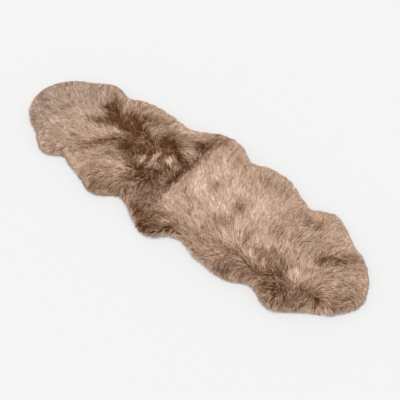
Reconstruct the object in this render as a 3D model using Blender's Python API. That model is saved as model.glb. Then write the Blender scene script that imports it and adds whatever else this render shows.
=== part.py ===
"""Double sheepskin rug: two long-wool pelts sewn rump to rump, lying flat with the wool up.

Run it with blender --background --python part.py, or from Blender's text editor. Metres, +Z up.
X runs along the rug, Y across it, and the origin is under the middle of its bounding box, on the floor.
Each pelt is one lumpy slab of skin and combed wool, flat below, with locks of wool all round its rim.
"""

import math
from collections import namedtuple

import bmesh
import bpy
from mathutils import Vector, geometry, noise

# Driving dimensions
WOOL_TOP = 0.050  # general height of the combed wool over the floor
RIM_TOP = 0.026  # height at which the wool turns down at the rim
SHOULDER = 0.070  # width over which the wool rises from the rim to its full height
RIM_INSET = 0.011  # the rim of the slab lies this far inside the outline
SEAM_X = -0.020  # the seam lies a little left of the rug's middle
SEAM_GAP = 0.0003  # the two skins meet edge to edge
SEAM_DIP = 0.016  # depth of the valley in the wool along the seam
SEAM_VALLEY = 0.045  # width of that valley on each side

# Layout of a slab: locks round its rim, a first row of points inside the rim, and cells further in
RIM_LOCKS = 112
RING = 0.010
CELL = 0.022
INSIDE_ONLY = 1  # the triangulation keeps only what lies inside the border
TOUCHING = 1e-6  # points nearer to the seam's plane than this lie on it

# Lumps of the combed wool: height and spacing of the broad ones and of the small ones
BROAD_LUMP = 0.0075
BROAD_SPACING = 0.085
SMALL_LUMP = 0.0040
SMALL_SPACING = 0.036
LUMPS_AT_RIM = 0.25  # share of the lumps' height that is left at the rim

# Rim locks. Each is drawn out of the slab's wall to its waist and on to its tip, getting narrower and lower
LOCK_REACH = 0.026  # how far a lock of the general length stands out past the slab
LOCK_SHORTEST = 0.72  # length of the shortest lock as a share of the general one
LOCK_RANGE = 0.46  # from the shortest to the longest, as a share of the general one
LOCK_SPACING = 0.010  # locks further apart than this differ in length
LOCK_SWAY = 0.008  # how far a tip can stand to the side
WAIST_REACH = 0.45  # the waist's distance from the slab as a share of the tip's
WAIST_WIDTH = 0.72
WAIST_HEIGHT = 0.74
TIP_WIDTH = 0.18
TIP_HEIGHT = 0.30

# The noise is cut at a level of its own for each use
BROAD_LEVEL = 0.0
SMALL_LEVEL = 1.0
SWAY_LEVEL = 2.0
LENGTH_LEVEL = 0.0

# Outline through the rim locks. A row for each section, from the seam to the head:
# distance from the seam, near edge (towards -Y) and far edge (towards +Y)
Section = namedtuple("Section", "along near far")
LEFT_SECTIONS = (
    Section(0.000, -0.320, 0.330),
    Section(0.040, -0.291, 0.313),
    Section(0.085, -0.259, 0.279),
    Section(0.145, -0.236, 0.257),
    Section(0.190, -0.251, 0.259),
    Section(0.230, -0.284, 0.267),
    Section(0.280, -0.295, 0.270),
    Section(0.335, -0.282, 0.275),
    Section(0.395, -0.256, 0.273),
    Section(0.460, -0.240, 0.258),
    Section(0.520, -0.218, 0.231),
    Section(0.560, -0.249, 0.248),
    Section(0.605, -0.261, 0.262),
    Section(0.660, -0.240, 0.249),
    Section(0.740, -0.185, 0.202),
    Section(0.805, -0.157, 0.167),
    Section(0.850, -0.114, 0.124),
    Section(0.882, -0.076, 0.075),
)
LEFT_HEAD = (0.903, 0.000)
RIGHT_SECTIONS = (
    Section(0.000, -0.318, 0.330),
    Section(0.045, -0.325, 0.330),
    Section(0.085, -0.317, 0.325),
    Section(0.130, -0.275, 0.303),
    Section(0.175, -0.250, 0.269),
    Section(0.215, -0.255, 0.264),
    Section(0.285, -0.280, 0.290),
    Section(0.340, -0.284, 0.290),
    Section(0.410, -0.293, 0.272),
    Section(0.470, -0.278, 0.240),
    Section(0.540, -0.247, 0.206),
    Section(0.590, -0.265, 0.229),
    Section(0.635, -0.289, 0.245),
    Section(0.685, -0.278, 0.227),
    Section(0.770, -0.216, 0.164),
    Section(0.830, -0.184, 0.131),
    Section(0.875, -0.150, 0.089),
    Section(0.910, -0.104, 0.039),
)
RIGHT_HEAD = (0.932, -0.040)

# Partings, where the combed wool falls away and lies lower, and tufts, where it stands up.
# Centre, size along the mark and across it, its angle to X in degrees, and its rise
Mark = namedtuple("Mark", "x y long wide turn rise")
MARKS = (
    Mark(-0.570, 0.145, 0.050, 0.030, 70, -0.009),
    Mark(-0.440, 0.125, 0.090, 0.035, 10, -0.008),
    Mark(-0.300, 0.050, 0.080, 0.045, -40, -0.008),
    Mark(-0.190, 0.150, 0.080, 0.035, -20, -0.009),
    Mark(-0.200, -0.090, 0.060, 0.035, 20, -0.007),
    Mark(-0.480, -0.080, 0.045, 0.020, 60, -0.006),
    Mark(-0.125, 0.050, 0.035, 0.022, 60, 0.007),
    Mark(-0.195, 0.030, 0.030, 0.018, 100, 0.006),
    Mark(-0.360, -0.070, 0.050, 0.020, 10, 0.005),
    Mark(-0.760, 0.030, 0.090, 0.030, 5, -0.004),
    Mark(0.275, 0.035, 0.050, 0.025, -50, -0.008),
    Mark(0.380, -0.045, 0.045, 0.020, 95, -0.006),
    Mark(0.485, -0.045, 0.030, 0.020, 80, 0.007),
    Mark(0.530, -0.090, 0.070, 0.025, -20, -0.007),
    Mark(0.630, -0.100, 0.055, 0.022, 0, 0.008),
    Mark(0.630, -0.165, 0.090, 0.030, 10, -0.009),
    Mark(0.740, 0.070, 0.070, 0.022, 35, -0.008),
    Mark(0.560, 0.160, 0.050, 0.025, 10, -0.005),
    Mark(0.770, -0.145, 0.035, 0.015, 110, -0.007),
    Mark(0.040, -0.260, 0.060, 0.035, 20, -0.006),
)

WOOL_COLOUR = (0.40, 0.26, 0.17)
WOOL_ROUGHNESS = 0.95
SHARP_FROM = math.radians(50)  # edges that turn by more than this stay sharp in the shading


def smooth_curve(knots, steps=12):
    """A dense polyline through the knots, by Catmull and Rom's rule."""
    ends = [2 * knots[0] - knots[1], *knots, 2 * knots[-1] - knots[-2]]
    line = []
    for a, b, c, d in zip(ends, ends[1:], ends[2:], ends[3:]):
        for step in range(steps):
            t = step / steps
            bend = (2 * a - 5 * b + 4 * c - d) * t**2 + (3 * b - a - 3 * c + d) * t**3
            line.append(0.5 * (2 * b + (c - a) * t + bend))
    line.append(knots[-1])
    return line


def evenly_spaced(line, cells):
    """Points at equal distances along a polyline, both ends included."""
    travelled = [0.0]
    for a, b in zip(line, line[1:]):
        travelled.append(travelled[-1] + (b - a).length)
    points = []
    piece = 0
    for i in range(cells + 1):
        wanted = travelled[-1] * i / cells
        while piece < len(line) - 2 and travelled[piece + 1] < wanted:
            piece += 1
        share = (wanted - travelled[piece]) / (travelled[piece + 1] - travelled[piece])
        points.append(line[piece].lerp(line[piece + 1], share))
    return points


def inset(line, by):
    """The polyline moved to its right, which is inwards for an outline run from its far edge to its near one."""
    moved = []
    for i, point in enumerate(line):
        ahead = (line[min(i + 1, len(line) - 1)] - line[max(i - 1, 0)]).normalized()
        moved.append(point + by * Vector((ahead.y, -ahead.x)))
    return moved


def slab_rim(sections, head):
    """The slab's rim, as distance from the seam and Y, from the seam's far end round the head to the near end."""
    knots = [Vector((s.along, s.far)) for s in sections]
    knots.append(Vector(head))
    knots += [Vector((s.along, s.near)) for s in reversed(sections)]
    line = [point for point in inset(smooth_curve(knots), RIM_INSET) if point.x > SEAM_GAP]
    ends = [Vector((0.0, line[i].y)) for i in (0, -1)]
    return evenly_spaced([ends[0], *line, ends[1]], RIM_LOCKS)


def distance_to_line(point, line):
    """Distance in plan from a point to a polyline."""
    least = math.inf
    for a, b in zip(line, line[1:]):
        side = b - a
        share = max(0.0, min(1.0, (point - a).dot(side) / side.length_squared))
        least = min(least, (point - a - share * side).length)
    return least


def is_inside(point, border):
    """Whether a point lies within a closed border, by counting the sides crossed on the way out along X."""
    crossed = 0
    for a, b in zip(border, border[1:] + border[:1]):
        if (a.y > point.y) != (b.y > point.y):
            crossed += point.x < a.x + (point.y - a.y) * (b.x - a.x) / (b.y - a.y)
    return crossed % 2 == 1


def inner_points(border):
    """Points in staggered rows over the slab, clear of its border."""
    row_gap = CELL * math.sqrt(3) / 2
    rows = math.ceil(max(abs(p.y) for p in border) / row_gap)
    columns = math.ceil(max(p.x for p in border) / CELL)
    points = []
    for row in range(-rows, rows + 1):
        for column in range(columns):
            point = Vector(((column + 0.5 * (row % 2)) * CELL, row * row_gap))
            if is_inside(point, border) and distance_to_line(point, border + border[:1]) > RING + CELL / 2:
                points.append(point)
    return points


def mark_share(mark, x, y):
    """1 at a mark's centre, falling smoothly to 0 outside it."""
    turn = math.radians(mark.turn)
    dx, dy = x - mark.x, y - mark.y
    along = dx * math.cos(turn) + dy * math.sin(turn)
    across = dy * math.cos(turn) - dx * math.sin(turn)
    return math.exp(-((along / mark.long) ** 2) - (across / mark.wide) ** 2)


def wool_height(x, y, from_rim):
    """Height of the wool's surface: a round shoulder, lumps, partings, tufts and the valley at the seam."""
    rise = min(from_rim / SHOULDER, 1.0)
    shoulder = math.sqrt(1.0 - (1.0 - rise) ** 2)
    height = RIM_TOP + (WOOL_TOP - RIM_TOP) * shoulder
    lumps = BROAD_LUMP * noise.noise(Vector((x, y, BROAD_LEVEL)) / BROAD_SPACING)
    lumps += SMALL_LUMP * noise.noise(Vector((x, y, SMALL_LEVEL)) / SMALL_SPACING)
    lumps += sum(mark.rise * mark_share(mark, x, y) for mark in MARKS)
    valley = SEAM_DIP * math.exp(-((x - SEAM_X) / SEAM_VALLEY) ** 2)
    return height + (lumps - valley) * (LUMPS_AT_RIM + (1.0 - LUMPS_AT_RIM) * shoulder)


def add_slab_top(bm, rim, along_x):
    """The wool's upper surface: the plan inside the rim, laid out in triangles and raised to its height."""
    seam = evenly_spaced([rim[-1], rim[0]], round((rim[0] - rim[-1]).length / CELL))[1:-1]
    border = rim + seam
    ring = [p for p in inset(rim, RING) if p.x > RING]
    plan = border + ring + inner_points(border)
    points, _, faces, *_ = geometry.delaunay_2d_cdt(plan, [], [range(len(border))], INSIDE_ONLY, SEAM_GAP)
    verts = []
    for point in points:
        x = SEAM_X + along_x * (point.x + SEAM_GAP / 2)
        verts.append(bm.verts.new((x, point.y, wool_height(x, point.y, distance_to_line(point, rim)))))
    for face in faces:
        bm.faces.new([verts[i] for i in face])


def close_below(bm):
    """Walls from the surface's border down to the floor, and one flat face below. Returns the walls."""
    border = [edge for edge in bm.edges if edge.is_boundary]
    made = bmesh.ops.extrude_edge_only(bm, edges=border)["geom"]
    for item in made:
        if isinstance(item, bmesh.types.BMVert):
            item.co.z = 0.0
    bmesh.ops.holes_fill(bm, edges=[edge for edge in bm.edges if edge.is_boundary])
    bmesh.ops.recalc_face_normals(bm, faces=bm.faces)
    return [item for item in made if isinstance(item, bmesh.types.BMFace)]


def shrink_to(face, centre, width, height):
    """Moves a lock's end face to a centre on the floor, narrowing it to shares of its width and height."""
    middle = face.calc_center_median()
    for vert in face.verts:
        offset = vert.co - middle
        low = vert.co.z < middle.z
        vert.co.x = centre.x + offset.x * width
        vert.co.y = centre.y + offset.y * width
        vert.co.z = 0.0 if low else vert.co.z * height


def add_rim_locks(bm, walls, along_x):
    """Draws each wall panel out into a four-sided lock resting on the floor, longer and shorter by turns."""
    seam_side = SEAM_X + along_x * SEAM_GAP / 2
    panels = [f for f in walls if any(abs(v.co.x - seam_side) > TOUCHING for v in f.verts)]
    for face in bmesh.ops.extrude_discrete_faces(bm, faces=panels)["faces"]:
        middle = face.calc_center_median()
        way = Vector((face.normal.x, face.normal.y, 0.0)).normalized()
        aside = Vector((-way.y, way.x, 0.0))
        sway = LOCK_SWAY * noise.noise(Vector((middle.x, middle.y, SWAY_LEVEL)) / SMALL_SPACING)
        length = noise.cell(Vector((middle.x, middle.y, LENGTH_LEVEL)) / LOCK_SPACING)
        reach = LOCK_REACH * (LOCK_SHORTEST + LOCK_RANGE * length)
        from_seam = along_x * (middle.x - seam_side)
        if from_seam < LOCK_REACH:
            way.x = along_x * max(along_x * way.x, 0.0)
        shrink_to(face, middle + way * reach * WAIST_REACH, WAIST_WIDTH, WAIST_HEIGHT)
        tip = bmesh.ops.extrude_discrete_faces(bm, faces=[face])["faces"][0]
        end = middle + way * reach + aside * sway
        end.x = seam_side + along_x * max(along_x * (end.x - seam_side), from_seam / 2)
        shrink_to(tip, end, TIP_WIDTH, TIP_HEIGHT)


def build_pelt(name, sections, head, along_x, material):
    """One pelt as one closed solid, running from the seam towards -X or +X."""
    bm = bmesh.new()
    add_slab_top(bm, slab_rim(sections, head), along_x)
    walls = close_below(bm)
    add_rim_locks(bm, walls, along_x)
    bmesh.ops.recalc_face_normals(bm, faces=bm.faces)
    mesh = bpy.data.meshes.new(name)
    bm.to_mesh(mesh)
    bm.free()
    mesh.shade_smooth()
    mesh.set_sharp_from_angle(angle=SHARP_FROM)
    mesh.materials.append(material)
    return bpy.data.objects.new(name, mesh)


def wool_material():
    """Dyed, combed wool: matt and warm brown."""
    material = bpy.data.materials.new("dyed_wool")
    material.use_nodes = True
    shader = material.node_tree.nodes["Principled BSDF"]
    shader.inputs["Base Color"].default_value = (*WOOL_COLOUR, 1.0)
    shader.inputs["Roughness"].default_value = WOOL_ROUGHNESS
    return material


def stand_on_origin(pelts, base):
    """Moves the base that carries the pelts so that the origin is under the middle of their bounding box."""
    points = [v.co for pelt in pelts for v in pelt.data.vertices]
    for axis in (0, 1):
        values = [p[axis] for p in points]
        base.location[axis] = -(min(values) + max(values)) / 2


def main():
    for obj in list(bpy.data.objects):
        bpy.data.objects.remove(obj)
    rug = bpy.data.collections.new("sheepskin_rug")
    bpy.context.scene.collection.children.link(rug)
    base = bpy.data.objects.new("rug_base", None)
    rug.objects.link(base)
    wool = wool_material()
    pelts = [
        build_pelt("pelt_left", LEFT_SECTIONS, LEFT_HEAD, -1, wool),
        build_pelt("pelt_right", RIGHT_SECTIONS, RIGHT_HEAD, 1, wool),
    ]
    for pelt in pelts:
        rug.objects.link(pelt)
        pelt.parent = base
    stand_on_origin(pelts, base)


main()
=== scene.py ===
"""Double sheepskin rug: hides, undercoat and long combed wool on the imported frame, with a pale studio stage.

Laid out as an add-on and run as a script. Sizes are in metres and angles in radians, if not said otherwise.
"""

import functools
import math
from collections import namedtuple

import bmesh
import bpy
import numpy as np
from bpy.props import FloatProperty, FloatVectorProperty, IntProperty, PointerProperty, StringProperty
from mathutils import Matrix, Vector, noise
from mathutils.bvhtree import BVHTree


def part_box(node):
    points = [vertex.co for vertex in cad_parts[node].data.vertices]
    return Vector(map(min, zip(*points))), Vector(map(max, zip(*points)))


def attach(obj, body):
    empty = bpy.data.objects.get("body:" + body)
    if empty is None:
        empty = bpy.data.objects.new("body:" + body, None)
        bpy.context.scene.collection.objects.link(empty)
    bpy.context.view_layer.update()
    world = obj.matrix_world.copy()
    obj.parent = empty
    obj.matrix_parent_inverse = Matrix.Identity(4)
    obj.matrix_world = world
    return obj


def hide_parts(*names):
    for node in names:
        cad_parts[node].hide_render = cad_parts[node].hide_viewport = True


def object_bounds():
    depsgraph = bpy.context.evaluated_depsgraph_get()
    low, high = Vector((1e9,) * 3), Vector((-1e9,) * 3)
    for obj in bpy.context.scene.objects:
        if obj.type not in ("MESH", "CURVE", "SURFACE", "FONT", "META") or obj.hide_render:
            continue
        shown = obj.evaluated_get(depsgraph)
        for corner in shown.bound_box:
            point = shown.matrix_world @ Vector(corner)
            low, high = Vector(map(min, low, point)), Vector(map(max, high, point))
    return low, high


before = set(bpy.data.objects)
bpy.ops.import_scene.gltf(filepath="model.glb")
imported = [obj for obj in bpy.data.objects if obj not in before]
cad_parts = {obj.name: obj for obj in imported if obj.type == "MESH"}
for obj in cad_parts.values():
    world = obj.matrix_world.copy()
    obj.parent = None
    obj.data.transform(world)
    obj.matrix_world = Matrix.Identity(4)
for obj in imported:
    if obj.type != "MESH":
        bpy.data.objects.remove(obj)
CAD_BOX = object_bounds()

bl_info = {
    "name": "Double Sheepskin Rug",
    "version": (1, 0, 0),
    "blender": (4, 5, 0),
    "location": "View3D > Sidebar > Rug",
    "description": "Dresses the two pelts of a double sheepskin rug in hide and long combed wool",
    "category": "Object",
}

PELTS = ("pelt_left", "pelt_right")
SEAM_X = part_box("pelt_right")[0].x  # the right pelt starts here
SEED = 7
TINY = 1e-9  # keeps a sum of weights or a length that is divided by from being 0
NUDGE = 1e-6  # a sideways length that is as good as none

# Width and length, then area, of each hide laid flat, measured from the outlines of the solids
FLAT_HIDES = {"pelt_left": ((0.62, 0.90), 0.388), "pelt_right": ((0.63, 0.93), 0.416)}

# Survey of the solids from above, from which the wool takes its height and its way over the rim. A level is
# the strength of the softened slab, from 1 well inside it to 0 well outside
SURVEY_CELL = 0.004
SURVEY_PAD = 0.060
SLAB_LEAST = 0.0225  # the slabs stand higher than this everywhere, and the locks at their rims lower
HEIGHT_SOFTNESS = 0.006
RIM_SOFTNESS = 0.012
TURN_LEVEL = 0.97  # the wool starts to turn outward here
TURN_BLEND = 0.40  # and has turned when the level has fallen by this
TURN_CURVE = 0.8
GRID_LEVEL = 0.5  # hide and undercoat end here
ROOT_LEVEL = 0.45  # a root that would lie beyond this moves to the middle of its tuft
RIM_LEVEL = 0.165  # the tips of the wool reach out to here
RIM_UNEVEN = 0.04  # how much that differs from lock to lock
ROOM_STEPS = 20  # places along a lock where its room is tested

# Hide and undercoat
GRID_SMOOTHINGS = 6
UNDERCOAT_GAP = 0.0005

# Smooth noises: the layer and the size of the swells of each
BROAD_SWIRLS = (0.5, 0.075)
FINE_SWIRLS = (4.5, 0.025)
TUFT_CLOUDS = (8.5, 0.030)
EDGE_WANDER_X = (12.5, 0.045)
EDGE_WANDER_Y = (16.5, 0.045)
BROAD_CLOUDS = (20.5, 0.055)
FINE_CLOUDS = (24.5, 0.022)

# How tufts lie, with lean from 0 for upright to 1 for flat
ROW_JITTER = 0.4  # how far tufts stray from even rows, in spacings
BROAD_SWIRLING = 1.3  # strengths of the two swirls
FINE_SWIRLING = 0.35
CROSSED_LEAN = 0.35  # share of the lean that is left where guides point against each other
PARTED_LIFT = 0.25  # how much less wool leans where it is parted
LEAN_LEAST = 0.2
RIM_LEAN = 0.9
OUTWARD_PULL = 1.6  # strength of the outward way at the rim against the combed one
SEAM_REACH = 0.026  # how near the seam the locks hang over its painted shadow line
SEAM_TURN = 0.75  # how far locks that head over the seam turn along it
SEAM_GAP = 0.001  # roots keep this far from the seam

# How locks spread in a tuft. Each pair is a value inside the rug and the value at its rim
TUFT_RADIUS = 0.70  # in spacings
ROOTS_ALONG = (2.4, 1.0)  # spread of the roots along the wool, in tuft radii
ROOTS_ACROSS = (0.9, 1.4)  # and across it
GATHER = (0.30, 0.10)  # how far tips draw back together
FAN = (0.10, 0.32)  # how far locks of a tuft point apart
THICKNESS = (1.0, 0.6)
TUFT_TONE = (1.0, 0.4)  # how much of its tuft's tone a lock takes

# How tufts and locks differ. Each pair is the least and the greatest share of the usual size
TUFT_LENGTHS = (0.8, 1.2)
LOCK_LENGTHS = (0.85, 1.1)
LOCK_RADII = (0.7, 1.2)
BEND = 0.22  # how far the locks of a tuft sweep aside
TUFT_CLOUDING = 0.5
TUFT_TONE_SPREAD = 0.50
LOCK_TONE_SPREAD = 0.60

# A lock from root to tip: its points, their heights as shares of the wool's, and its thickness there
STATIONS = (0.0, 1 / 3, 2 / 3, 1.0)
RISE = (0.35, 0.80, 0.98, 1.03)
TAPER = (1.0, 1.0, 0.72, 0.0)
CRIMP = 0.0016  # how far its inner points lie off its course
WAY_CURVE = 1.15  # how slowly it sets out on its way
UPRIGHT_REACH = 0.30  # how far an upright lock still reaches, as a share of a flat one
UPRIGHT_RISE = 0.10  # and how much higher its tip stands
TIP_UNEVEN = 0.0011
TIP_LEAST = 0.0012  # the middle of a lock keeps this far from the floor at its tip
ROOT_LEAST = 0.0032  # and this far at its root
FLOOR_GAP = 0.0004  # no point of it comes nearer to the floor

# Tones
EDGE_WANDER = 0.006  # how far the edges of the patches wander
CLOUDING = 0.20  # how much the tone drifts from place to place
TONE_SLIP = 0.011  # how far locks carry a patch's tone over its edge
TONE_SPREAD = 0.22  # how unevenly the locks of a patch take its tone
PATCH_LIMIT = 1.3  # patches that lie over each other are no darker than this
DARKEST = 1.4
RIM_GLOW = 2.4  # painted glow: how much paler the tips of the wool at the rim are made, as if light came through them
RIM_GLOW_CURVE = 5
SHOWN_SHARE = 0.75  # what shows of a lock lies about this far along it
BAKE_MARGIN = 0.04  # room round each lock in the map for baking, as a share of its cell

# The colour inputs and output of a Mix node, which share their names with its other kinds
MIX_FROM, MIX_TO, MIX_COLOUR = 6, 7, 2

# The stage
FLOOR_HALF = 12.0
KEY_SOURCE = (-0.15, -0.02, 1.1)  # the direction that the key light comes from
KEY_ANGLE = math.radians(50)  # the wider it looks, the softer its shadows
CAMERA_CLIP = 60.0

# The two tables below are in millimetres from this point of the rug, and their angles in degrees from +X
TABLE_ORIGIN = (0.015, -0.055)
MM = 1000  # millimetres in a metre

# How the wool lies: place, the heading that its tips point in, its lean, and how far the guide reaches
GUIDE_REACH = 75
GUIDE_LEAST = 1e-7  # the least weight of a guide, anywhere on its side of the seam
Guide = namedtuple("Guide", "x y heading lean reach", defaults=(GUIDE_REACH,))
GUIDES = [Guide(*row) for row in (
    (-870, 60, 168, 0.85),
    (-870, -60, 190, 0.85),
    (-760, 110, 148, 0.85),
    (-720, 0, 182, 0.85),
    (-720, -100, 215, 0.85),
    (-640, 200, 120, 0.8),
    (-620, 60, 165, 0.8),
    (-620, -180, 248, 0.8),
    (-560, 150, 175, 0.55),
    (-540, 20, 172, 0.85),
    (-500, -60, 217, 0.85),
    (-440, 150, 120, 0.5),
    (-420, 240, 95, 0.75),
    (-400, -130, 208, 0.85),
    (-400, 20, 200, 0.65),
    (-340, -200, 235, 0.85),
    (-320, 60, 260, 0.45),
    (-300, -80, 205, 0.85),
    (-270, 210, 60, 0.7),
    (-270, -170, 245, 0.8),
    (-190, 140, 110, 0.45),
    (-180, 30, 95, 0.55),
    (-180, -150, 266, 0.8),
    (-160, 240, 45, 0.75),
    (-100, -80, 300, 0.7),
    (-80, 160, -35, 0.7),
    (-70, 40, 250, 0.55),
    (-60, -200, 275, 0.7),
    (10, 280, 100, 0.75),
    (20, 150, 130, 0.75),
    (30, 0, 134, 0.8),
    (40, -100, 148, 0.8),
    (20, -220, 230, 0.6),
    (130, 200, 118, 0.8),
    (150, 60, 125, 0.85),
    (160, -70, 150, 0.85),
    (180, -170, 172, 0.85),
    (280, 180, 108, 0.8),
    (280, 20, 114, 0.85),
    (300, -140, 168, 0.85),
    (400, 120, 96, 0.8),
    (400, 0, 98, 0.8),
    (420, -200, 262, 0.75),
    (480, -40, 110, 0.6),
    (480, -120, 150, 0.65),
    (540, 100, 82, 0.8),
    (540, -200, 250, 0.65),
    (560, -60, 115, 0.65),
    (600, -200, 258, 0.65),
    (640, 160, 62, 0.8),
    (620, -60, 102, 0.75),
    (680, -60, 88, 0.75),
    (660, -190, 268, 0.7),
    (700, 50, 60, 0.75),
    (720, -180, 282, 0.75),
    (780, 120, 30, 0.8),
    (780, -40, 20, 0.8),
    (790, -150, -45, 0.8),
    (870, 0, 3, 0.8),
    (-112, 60, 128, 0.55, 30),
    (-182, 35, 118, 0.6, 24),
    (-228, 0, 112, 0.6, 20),
    (-64, 40, 122, 0.6, 22),
    (484, -40, 115, 0.6, 30),
    (510, -125, 110, 0.6, 24),
    (645, -85, 102, 0.75, 40),
    (700, -85, 92, 0.75, 30),
    (660, -145, 262, 0.6, 35),
    (720, -140, 275, 0.6, 30),
    (600, -150, 250, 0.6, 35),
)]
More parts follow.
